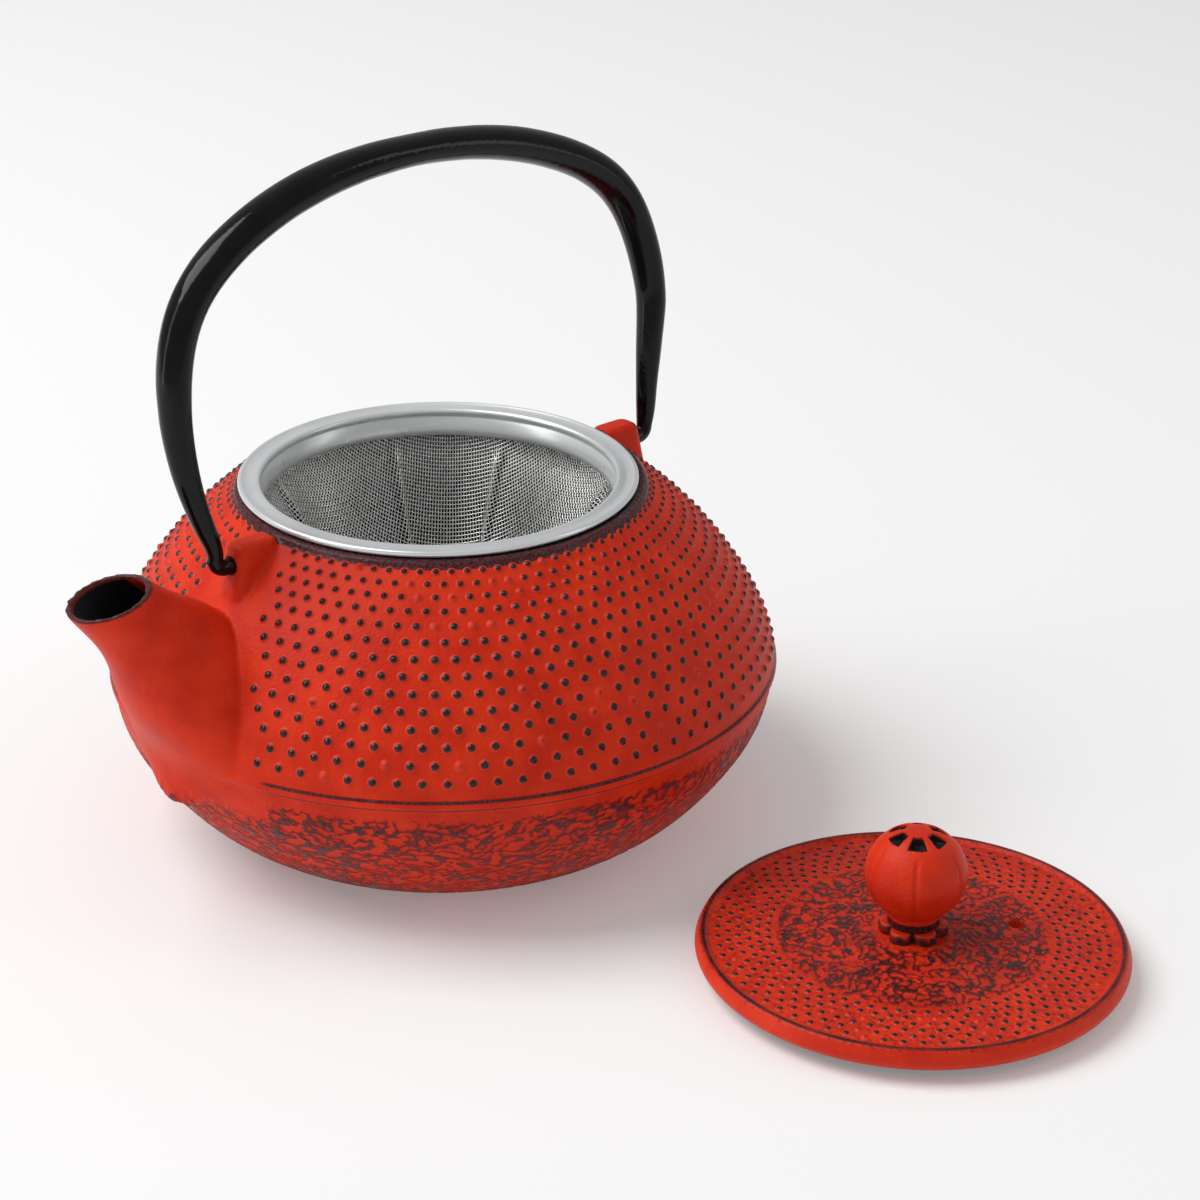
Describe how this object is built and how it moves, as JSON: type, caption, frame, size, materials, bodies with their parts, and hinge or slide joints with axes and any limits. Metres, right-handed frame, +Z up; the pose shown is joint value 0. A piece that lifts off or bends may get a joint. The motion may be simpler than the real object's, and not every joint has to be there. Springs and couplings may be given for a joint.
{
  "type": "cast-iron teapot with bail handle",
  "caption": "Cast-iron teapot with a studded shoulder, arched bail handle, lift-out mesh infuser and a separate knobbed lid.",
  "frame": {"origin": "centre of the pot's foot, on the table", "axes": "+Z up, +X towards the spout; the bail hinges about X and the lid lies beside the pot at +Y"},
  "size_m": [0.1768, 0.2507, 0.1594],
  "materials": {
    "red_enamel": "satin red enamel with worn dark stud tips",
    "black_lacquer": "glossy black lacquer",
    "pressed_steel": "satin pressed stainless sheet",
    "woven_steel": "woven stainless wire",
    "worn_iron": "dark iron with worn red enamel",
    "rivet_steel": "peened steel"
  },
  "bodies": {
    "pot": {"pot_bowl": "red_enamel", "pot_shoulder": "red_enamel", "pot_spout": "red_enamel"},
    "bail": {"bail_handle": "black_lacquer"},
    "infuser": {"infuser_rim": "pressed_steel", "infuser_mesh": "woven_steel"},
    "lid": {"lid_plate": "red_enamel", "knob_seat": "worn_iron", "lid_knob": "red_enamel", "knob_rivet": "rivet_steel"}
  },
  "joints": [
    {"name": "bail_swing", "type": "hinge", "parent": "pot", "child": "bail", "pos_m": [0, 0, 0.0764], "axis": [1, 0, 0], "range_deg": [-113, 98.5]},
    {"name": "infuser_lift", "type": "slide", "parent": "pot", "child": "infuser", "axis": [0, 0, 1], "range_m": [0, 0.055]},
    {"name": "lid_lift", "type": "slide", "parent": "pot", "child": "lid", "axis": [0, 0, 1], "range_m": [0, 0.12]}
  ]
}
